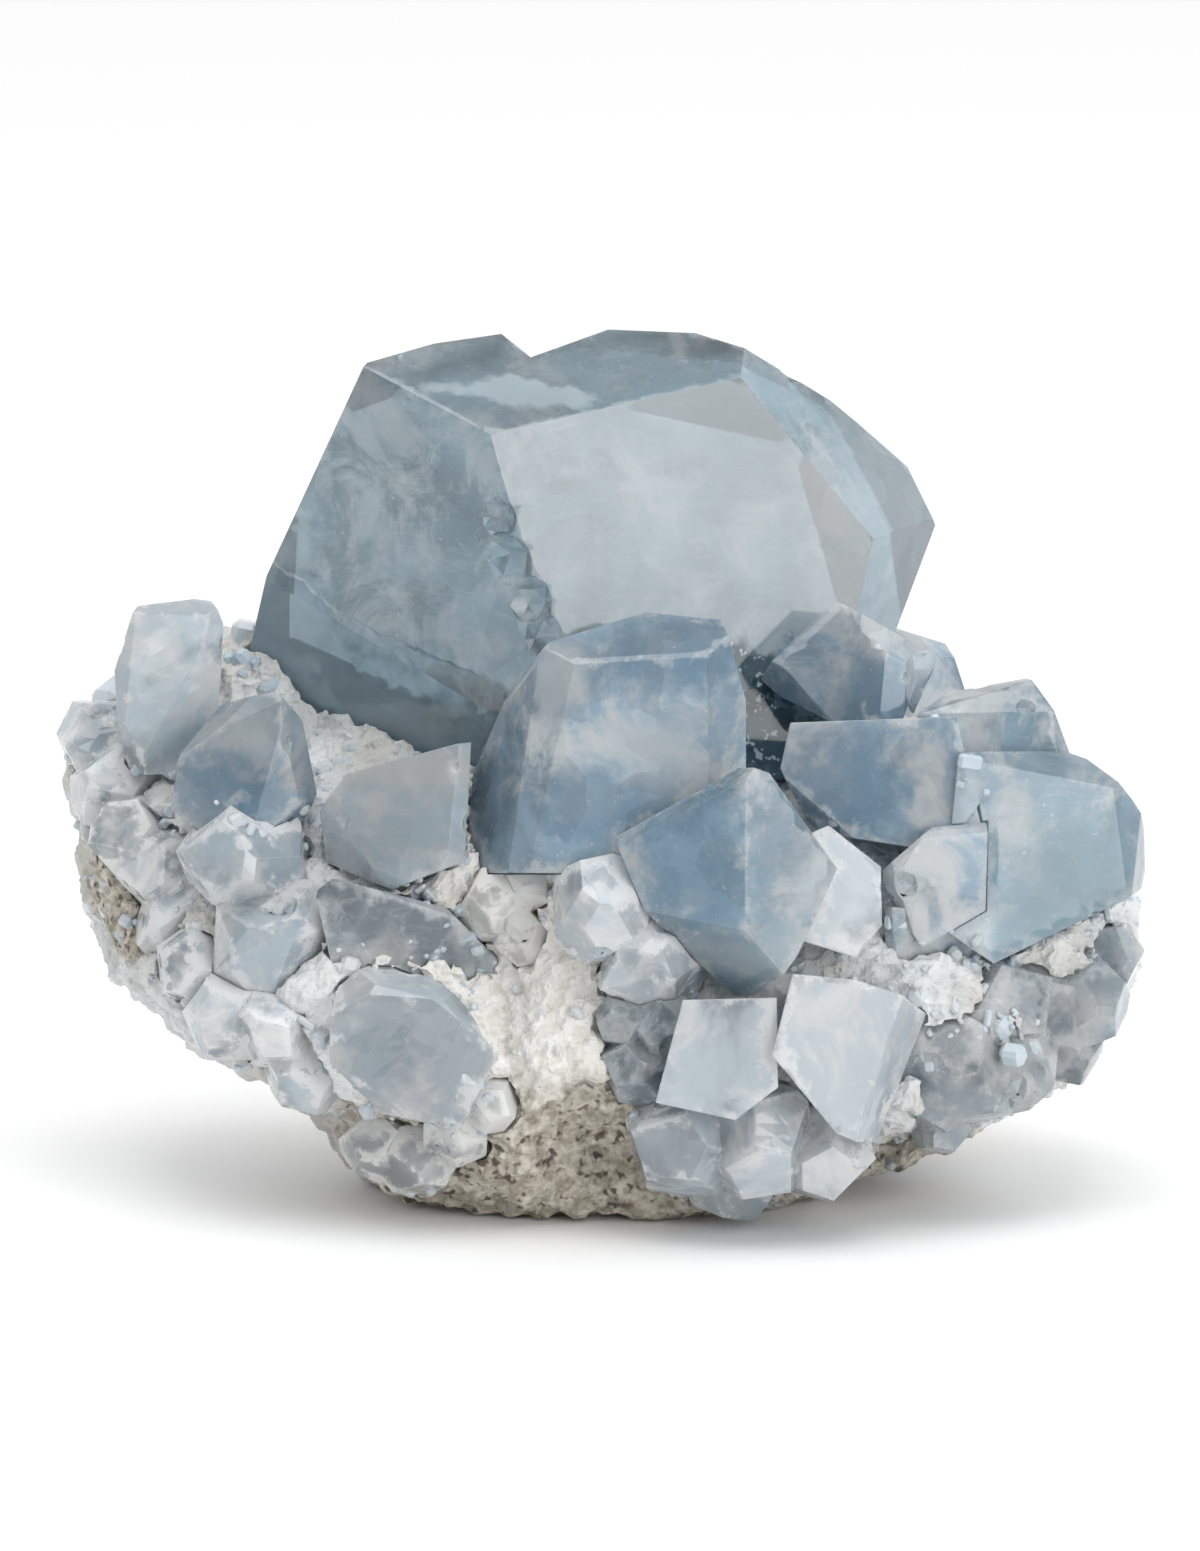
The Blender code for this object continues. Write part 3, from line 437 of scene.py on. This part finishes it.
# The tone of each of its faces, by the way that the face looks: painted light and shade, from 0 darkest to 1
# brightest.
large_painted_face_light = (
    (way(20.0, 15.0), 1.0),
    (way(8.0, 60.0), 0.0),
    (way(61.0, 35.0), 0.9),
    (way(61.0, -1.0), 0.9),
    (way(-31.0, 0.0), 0.35),
    (way(-36.0, -12.0), 0.8),
)
# The steps of its broken side, each a chip.
broken_side = [
    (Vector((-0.0080, -0.0060, 0.0530)), way(-5.0, 5.0), 0.0032, 0.0008),
    (Vector((-0.0062, -0.0068, 0.0500)), way(5.0, 5.0), 0.0026, 0.0009),
    (Vector((-0.0046, -0.0078, 0.0472)), way(-10.0, 5.0), 0.0034, 0.0009),
    (Vector((-0.0022, -0.0086, 0.0448)), way(0.0, 10.0), 0.0024, 0.0008),
    (Vector((-0.0088, -0.0054, 0.0566)), way(0.0, 5.0), 0.0022, 0.0006),
]
large_chips = 6
large_chip_radius = 0.0028
chip_depth = 0.0004
large_wear = 0.00020

looked_at = bpy.context.evaluated_depsgraph_get()
solids = {name: BVHTree.FromObject(solid, looked_at) for name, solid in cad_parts.items()}

large = copy_of("large_crystal", "large_celestite_faces")
chance = random.Random("large_crystal")
chips = edge_chips(large, large_chips, large_chip_radius, chip_depth, chance)
chipped(large, broken_side + chips, chance)
worn(large, large_wear)
marked(large, "large_crystal", large_painted_face_light, chance)
large_stone = celestite("large_crystal_stone", large_look, large_depth, large_frost, no_steps, large_patches)
large_marks(large_stone)
large.data.materials.clear()
large.data.materials.append(large_stone)
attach(large, "root")
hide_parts("large_crystal")

# The blue crystals: the front one, the low one with its upright middle edge, those at the right and
# the left one, and two groups behind. Glassy celestite with clouds, grown on the matrix and into one
# another. Each is a copy of its solid with chipped, worn edges, grown a little to close its seams.


def kept_in_box(shape):
    """Brings the corners of a mesh that are past the solids' box back to it."""
    for vert in shape.vertices:
        for axis in range(3):
            vert.co[axis] = min(max(vert.co[axis], cad_box[0][axis]), cad_box[1][axis])


def small_crystal(node, look, depth, frost, steps, patches_and_highlights):
    """A crystal beside the large one, from its node: its piece, with its stone on it."""
    chips = 7
    chip_radius = 0.0022
    wear = 0.00014
    growth = 0.00010
    piece = copy_of(node, node.replace("crystal", "celestite") + "_faces")
    chance = random.Random(node)
    chipped(piece, edge_chips(piece, chips, chip_radius, chip_depth, chance), chance)
    worn(piece, wear)
    shaped(piece, "DISPLACE", strength=growth, mid_level=0.0)
    kept_in_box(piece.data)
    marked(piece, node, (), chance)
    piece.data.materials.clear()
    piece.data.materials.append(celestite(node + "_stone", look, depth, frost, steps, patches_and_highlights))
    return piece


# The clear and the milky colour that most of them have, and the look of each.
blue = ((0.46, 0.65, 0.81), (0.88, 0.92, 0.94))
blue_looks = {
    "front_crystal": (*blue, 0.50, 0.11),
    "low_crystal": ((0.44, 0.65, 0.81), (0.88, 0.92, 0.94), 0.50, 0.23),
    "middle_right_crystals": (*blue, 0.50, 0.31),
    "right_crystals": ((0.38, 0.55, 0.67), (0.76, 0.83, 0.87), 0.50, 0.43),
    "lower_right_crystals": ((0.60, 0.72, 0.80), (0.92, 0.94, 0.95), 0.55, 0.57),
    "upper_right_crystal": (*blue, 0.50, 0.61),
    "wedge_crystal": (*blue, 0.55, 0.67),
    "left_crystal": ((0.42, 0.63, 0.80), (0.88, 0.91, 0.93), 0.55, 0.71),
    "back_left_crystals": (*blue, 0.50, 0.83),
    "back_right_crystals": (*blue, 0.50, 0.97),
}
# The dark and bright patches of some of them: a centre, a spread and a colour. Most are colour inside
# the stone; the first two of the right crystals are painted highlights.
blue_patches_and_highlights = {
    "front_crystal": (
        ((0.0065, -0.0150, 0.0475), (0.0070, 0.0060, 0.0030), (0.20, 0.35, 0.48)),
        ((-0.0035, -0.0155, 0.0450), (0.0022, 0.0030, 0.0034), (0.84, 0.89, 0.91)),
        ((0.0045, -0.0174, 0.0392), (0.0034, 0.0040, 0.0036), (0.74, 0.84, 0.90)),
        ((0.0000, -0.0178, 0.0350), (0.0050, 0.0050, 0.0030), (0.26, 0.44, 0.60)),
    ),
    "low_crystal": (
        ((0.0082, -0.0244, 0.0312), (0.0056, 0.0040, 0.0066), (0.20, 0.40, 0.57)),
        ((0.0131, -0.0250, 0.0240), (0.0070, 0.0050, 0.0024), (0.66, 0.77, 0.82)),
        ((0.0205, -0.0230, 0.0305), (0.0040, 0.0040, 0.0070), (0.80, 0.87, 0.91)),
    ),
    "right_crystals": (
        # Painted highlights: two bright streaks where its faces catch the light.
        ((0.0296, -0.0102, 0.0390), (0.0018, 0.0020, 0.0034), (0.90, 0.93, 0.94)),
        ((0.0337, -0.0131, 0.0329), (0.0018, 0.0020, 0.0028), (0.86, 0.90, 0.91)),
        ((0.0378, -0.0132, 0.0262), (0.0050, 0.0050, 0.0070), (0.26, 0.42, 0.50)),
    ),
    "upper_right_crystal": (((0.0230, -0.0073, 0.0418), (0.0048, 0.0040, 0.0034), (0.24, 0.38, 0.50)),),
    "middle_right_crystals": (((0.0195, -0.0136, 0.0352), (0.0056, 0.0040, 0.0052), (0.22, 0.38, 0.53)),),
    "left_crystal": (
        ((-0.0310, -0.0120, 0.0350), (0.0038, 0.0040, 0.0038), (0.22, 0.42, 0.60)),
        ((-0.0270, -0.0110, 0.0405), (0.0034, 0.0030, 0.0022), (0.74, 0.82, 0.86)),
    ),
}
glassy_depth = 24.0
glassy_frost = 0.35
for node, look in blue_looks.items():
    crystal = small_crystal(node, look, glassy_depth, glassy_frost, no_steps, blue_patches_and_highlights.get(node, ()))
    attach(crystal, "root")
    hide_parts(node)

# The pale crystals: the bright plate and the blocks round it, the slim one, the ones up the left side
# and the milky ones of the crust and the cream part. White to pale blue celestite with growth steps on
# its faces, frosted where it meets its neighbours, and made as the blue ones are.

pale = ((0.72, 0.81, 0.88), (0.95, 0.96, 0.97))
pale_looks = {
    "plate_crystal": (*pale, 0.40, 1.09),
    "lower_cluster": (*pale, 0.38, 1.21),
    "slim_crystal": (*pale, 0.40, 1.33),
    "lower_left_crystal": ((0.66, 0.75, 0.82), (0.94, 0.95, 0.96), 0.38, 1.41),
    "pale_left_crystals": ((0.66, 0.78, 0.87), (0.95, 0.96, 0.97), 0.38, 1.53),
    "left_crust_crystals": ((0.68, 0.79, 0.87), (0.95, 0.95, 0.95), 0.25, 2.31),
    "upper_left_crystal": ((0.72, 0.83, 0.90), (0.95, 0.96, 0.97), 0.40, 1.67),
    "centre_crystals": (*pale, 0.34, 1.71),
    "cream_crystals": ((0.80, 0.80, 0.77), (0.95, 0.94, 0.91), 0.22, 2.43),
}
pale_patches = {
    "lower_left_crystal": (
        ((-0.0215, -0.0190, 0.0205), (0.0034, 0.0040, 0.0024), (0.95, 0.95, 0.94)),
        ((-0.0175, -0.0200, 0.0150), (0.0040, 0.0040, 0.0034), (0.48, 0.58, 0.66)),
    ),
}
milky_depth = 20.0
milky_frost = 0.55
milky_steps = 0.25
for node, look in pale_looks.items():
    crystal = small_crystal(node, look, milky_depth, milky_frost, milky_steps, pale_patches.get(node, ()))
    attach(crystal, "root")
    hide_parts(node)

# The grey crystals: the grey block left of the front one, the dark ones under it and in the corner,
# and the small milky ones at the foot. Celestite with little colour, made as the blue ones are. The one
# under the grey block lies in shade, and its dark colours and deep colouring are painted shade.

# Dark colours: on the shaded crystal they are painted shade; the corner crystals have them too.
dark = ((0.42, 0.50, 0.57), (0.80, 0.84, 0.86))
grey_looks = {
    "grey_crystal": ((0.66, 0.79, 0.88), (0.90, 0.92, 0.93), 0.50, 1.87),
    "shaded_crystal": (*dark, 0.45, 1.93),
    "corner_crystals": (*dark, 0.45, 2.07),
    "foot_crystals": ((0.66, 0.69, 0.70), (0.88, 0.88, 0.86), 0.22, 2.19),
}
# Deep colouring: on the shaded crystal it is painted shade as well; the corner crystals have it too.
dark_and_shade_depth = 50.0
# Their depth, frost and steps.
grey_finish = {
    "grey_crystal": (glassy_depth, glassy_frost, no_steps),
    "shaded_crystal": (dark_and_shade_depth, glassy_frost, no_steps),
    "corner_crystals": (dark_and_shade_depth, glassy_frost, no_steps),
    "foot_crystals": (glassy_depth, milky_frost, milky_steps),
}
grey_patches = {
    "grey_crystal": (((-0.0148, -0.0140, 0.0375), (0.0080, 0.0050, 0.0018), (0.92, 0.92, 0.90)),),
}
for node, look in grey_looks.items():
    crystal = small_crystal(node, look, *grey_finish[node], grey_patches.get(node, ()))
    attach(crystal, "root")
    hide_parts(node)

# The matrix: the lump that they all grow from. Cream to grey mineral, sandy low in the middle and at
# the left edge. It is its solid remade fine enough to carry its hollows, pits and grains.


def matrix_stone():
    """Cream rock with grey and white patches, and sand with dark specks low down."""
    material = bpy.data.materials.new("matrix_stone")
    material.use_nodes = True
    tree = material.node_tree
    place = place_of(tree)
    ragged = noise_of(tree, place, 160.0, 0.2, 0.8, 5.0)
    white = noise_of(tree, place, 70.0, 0.40, 0.62)
    grey = noise_of(tree, place, 130.0, 0.52, 0.70)
    grains = noise_of(tree, place, 900.0, 0.35, 0.65, 2.0)
    specks = noise_of(tree, place, 1100.0, 0.56, 0.68, 1.0)
    spots = noise_of(tree, place, 420.0, 0.60, 0.70, 3.0)
    rock = blend_of(tree, white, (0.60, 0.59, 0.56), (0.78, 0.80, 0.82))
    rock = blend_of(tree, grey, rock, (0.50, 0.51, 0.51))
    cream = blend_of(tree, grains, (0.74, 0.71, 0.66), (0.87, 0.86, 0.83))
    middle = patch_of(tree, place, (-0.006, -0.018, 0.018), (0.016, 0.02, 0.018), ragged)
    rock = blend_of(tree, middle, rock, cream)
    sand = blend_of(tree, grains, (0.34, 0.31, 0.25), (0.66, 0.62, 0.54))
    sand = blend_of(tree, specks, sand, (0.12, 0.10, 0.08))
    sand = blend_of(tree, spots, sand, (0.16, 0.13, 0.11))
    for centre, spread in (
        ((-0.003, -0.016, 0.003), (0.017, 0.016, 0.011)),
        ((-0.018, -0.014, 0.003), (0.008, 0.012, 0.007)),
        ((-0.041, -0.008, 0.026), (0.005, 0.012, 0.008)),
        ((0.024, -0.010, 0.002), (0.012, 0.012, 0.005)),
        ((0.0, 0.016, 0.002), (0.036, 0.016, 0.009)),
    ):
        rock = blend_of(tree, patch_of(tree, place, centre, spread, ragged), rock, sand)
    relief = node_of(tree, "ShaderNodeBump", {"Strength": 0.6, "Distance": 0.0003, "Height": grains})
    sockets = {"Base Color": rock, "Normal": relief.outputs["Normal"], "Roughness": 0.75}
    wire(tree, tree.nodes["Principled BSDF"], sockets)
    return material


def roughened(piece, kind, scale, strength, middle):
    """Pushes a piece's surface in and out by one of Blender's own textures, all in metres."""
    relief = bpy.data.textures.new(kind.lower() + "_relief", kind)
    relief.noise_scale = scale
    shaped(piece, "DISPLACE", texture=relief, texture_coords="LOCAL", strength=strength, mid_level=middle)


rock = copy_of("matrix", "matrix_rock")
shaped(rock, "REMESH", mode="VOXEL", voxel_size=0.0005)
# Its hollows, then its pits, then its grains.
roughened(rock, "CLOUDS", 0.0035, 0.0014, 0.60)
roughened(rock, "VORONOI", 0.0016, 0.0011, 0.45)
roughened(rock, "CLOUDS", 0.0007, 0.0006, 0.5)
kept_in_box(rock.data)
rock.data.materials.clear()
rock.data.materials.append(matrix_stone())
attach(rock, "root")
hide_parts("matrix")

# The crust: some thousands of small celestite crystals, white to pale blue and milky, grown on the
# matrix and in the seams between the crystals, larger at the back, and none on the sand in front.

# How many grow, and how many of them on the matrix. None is lower than the lowest or nearer a crystal
# than the closest, and those on the matrix crowd round the feet of the crystals.
crust_count = 4400
on_matrix = 2300
lowest = 0.0012
closest = 0.0003
seam_reach = 0.0013
crowd_reach = 0.006
fewest = 0.45
sand_middle, sand_width, sand_height = -0.004, 0.016, 0.014
# The least and greatest size, in metres, of those in the seams, and of three sorts on the matrix.
seam_size = (0.0005, 0.0016)
fine_size = (0.0004, 0.0011)
middle_size = (0.0012, 0.0022)
back_size = (0.0014, 0.0038)
middle_share = 0.12
back_share = 0.30
sunk = 0.55
seam_nodes = (
    "left_crust_crystals",
    "lower_right_crystals",
    "pale_left_crystals",
    "left_crystal",
    "grey_crystal",
    "lower_left_crystal",
    "centre_crystals",
    "lower_cluster",
    "foot_crystals",
    "upper_left_crystal",
    "right_crystals",
    "middle_right_crystals",
    "shaded_crystal",
    "back_left_crystals",
    "back_right_crystals",
)


def small_block(size, cut):
    """One small crystal: a block with its edges cut off, as corner points and faces."""
    bpy.ops.mesh.primitive_cube_add(size=1.0)
    block = bpy.context.active_object
    block.scale = size
    bpy.ops.object.transform_apply(location=False, rotation=False, scale=True)
    bpy.ops.object.mode_set(mode="EDIT")
    bpy.ops.mesh.select_all(action="SELECT")
    bpy.ops.mesh.bevel(offset=cut, segments=1, affect="EDGES")
    bpy.ops.object.mode_set(mode="OBJECT")
    corners = [vert.co.copy() for vert in block.data.vertices]
    faces = [tuple(face.vertices) for face in block.data.polygons]
    bpy.data.objects.remove(block)
    return corners, faces


def crust_stone():
    """Milky small crystals, a little see-through."""
    material = bpy.data.materials.new("crust_stone")
    material.use_nodes = True
    tree = material.node_tree
    place = place_of(tree)
    blue = noise_of(tree, place, 110.0, 0.42, 0.62)
    grey = noise_of(tree, place, 60.0, 0.55, 0.70)
    tone = blend_of(tree, blue, (0.80, 0.83, 0.85), (0.58, 0.69, 0.77))
    tone = blend_of(tree, grey, tone, (0.50, 0.53, 0.55))
    sockets = {"Base Color": tone, "Roughness": 0.22, "IOR": 1.62, "Transmission Weight": 0.20}
    wire(tree, tree.nodes["Principled BSDF"], sockets)
    return material


def spot_on(node):
    """A spot by chance on a node's surface, and the way out of it."""
    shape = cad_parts[node].data
    face = shape.polygons[chance.choices(range(len(shape.polygons)), face_sizes[node])[0]]
    points = [shape.vertices[index].co for index in face.vertices]
    shares = [chance.random() for _ in points]
    return sum((point * share for point, share in zip(points, shares)), Vector()) / sum(shares), face.normal


def size_at(spot, node):
    """The size of a small crystal at a spot of a node. None where nothing grows."""
    reach = min(tree.find_nearest(spot)[3] for name, tree in solids.items() if name not in ("matrix", node))
    if spot.z < lowest or reach < closest:
        return None
    if node != "matrix":
        reach = min(reach, solids["matrix"].find_nearest(spot)[3])
        return None if reach > seam_reach else chance.uniform(*seam_size)
    from_sand = math.hypot((spot.x - sand_middle) / sand_width, spot.z / sand_height)
    if from_sand < 1.0 and spot.y < 0.0:
        return None
    if chance.random() > max(fewest, 1.3 - reach / crowd_reach):
        return None
    size = chance.uniform(*fine_size)
    if spot.y > 0.002 and chance.random() < back_share:
        size = chance.uniform(*back_size)
    elif chance.random() < middle_share:
        size = chance.uniform(*middle_size)
    return size


flat_block = small_block((1.0, 0.55, 1.3), 0.16)
long_block = small_block((0.6, 0.6, 1.7), 0.14)
even_block = small_block((1.0, 0.9, 1.1), 0.22)
face_sizes = {}
for node in ("matrix", *seam_nodes):
    face_sizes[node] = [face.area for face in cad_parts[node].data.polygons]
chance = random.Random(3)
corners, faces = [], []
grown = 0
while grown < crust_count:
    node = "matrix" if grown < on_matrix else chance.choice(seam_nodes)
    spot, outward = spot_on(node)
    size = size_at(spot, node)
    if size is None:
        continue
    lean = Vector([chance.gauss(0.0, 0.45) for _ in range(3)])
    up = (outward + lean).normalized()
    turn = up.to_track_quat("Z", "Y") @ Matrix.Rotation(chance.uniform(0.0, 6.28), 3, "Z").to_quaternion()
    block_corners, block_faces = chance.choice((flat_block, long_block, even_block))
    slim = chance.uniform(0.5, 1.1)
    foot = spot - outward * size * sunk
    placed = [foot + turn @ Vector((corner.x * slim, corner.y, corner.z)) * size for corner in block_corners]
    if any(not low < part < high for point in placed for part, low, high in zip(point, *cad_box)):
        continue
    start = len(corners)
    corners.extend(placed)
    faces.extend(tuple(index + start for index in block_face) for block_face in block_faces)
    grown += 1
shape = bpy.data.meshes.new("crust_crystals")
shape.from_pydata(corners, [], faces)
crust = bpy.data.objects.new("crust_crystals", shape)
bpy.context.scene.collection.objects.link(crust)
shape.materials.append(crust_stone())
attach(crust, "root")

# The floor, a plain pale surface, and soft studio light: a large lamp low at the front right, whose
# reflection makes the tilted faces bright, one overhead, and a pale room, brightest behind.

bpy.ops.mesh.primitive_circle_add(vertices=64, radius=3.0, fill_type="NGON", location=(0, 0, -0.0002))
floor = bpy.context.active_object
floor.name = "floor"
floor_paint = bpy.data.materials.new("floor_paint")
floor_paint.use_nodes = True
floor_shader = floor_paint.node_tree.nodes["Principled BSDF"]
wire(floor_paint.node_tree, floor_shader, {"Base Color": (0.97, 0.97, 0.97, 1.0), "Roughness": 0.9})
floor.data.materials.append(floor_paint)


def lamp(name, heading, rise, size, power):
    """A square soft lamp that faces the specimen from a heading (0 front, 90 right) and a rise."""
    middle = Vector((0.0, 0.0, 0.035))
    distance = 0.9
    light = bpy.data.lights.new(name, "AREA")
    light.shape = "SQUARE"
    light.size = size
    light.energy = power
    holder = bpy.data.objects.new(name, light)
    bpy.context.scene.collection.objects.link(holder)
    holder.location = middle + way(heading, rise) * distance
    holder.rotation_euler = way(heading, rise).to_track_quat("Z", "Y").to_euler()


lamp("key_lamp", 40.0, 17.0, 0.60, 3.0)
lamp("top_lamp", 0.0, 80.0, 0.70, 3.6)

room = bpy.data.worlds.new("room")
room.use_nodes = True
bpy.context.scene.world = room
direction = node_of(room.node_tree, "ShaderNodeTexCoord", {}).outputs["Generated"]
backwards = node_of(room.node_tree, "ShaderNodeSeparateXYZ", {0: direction}).outputs["Y"]
front_light, back_light = 0.45, 1.1
strength = span_of(room.node_tree, backwards, -0.7, 0.7, front_light, back_light)
sockets = {"Color": (1.0, 1.0, 1.0, 1.0), "Strength": strength}
wire(room.node_tree, room.node_tree.nodes["Background"], sockets)

# The camera, as far round and as high as the photograph was taken from.

target = Vector((0.0, 0.0, 0.0339))
distance = 2.83
lens = bpy.data.cameras.new("camera")
lens.lens = 800.0
lens.sensor_width = 36.0
lens.clip_end = 10.0
camera = bpy.data.objects.new("camera", lens)
bpy.context.scene.collection.objects.link(camera)
camera.location = target + way(0.0, 12.0) * distance
camera.rotation_euler = (camera.location - target).to_track_quat("Z", "Y").to_euler()
bpy.context.scene.camera = camera
bpy.context.scene.view_settings.view_transform = "Standard"
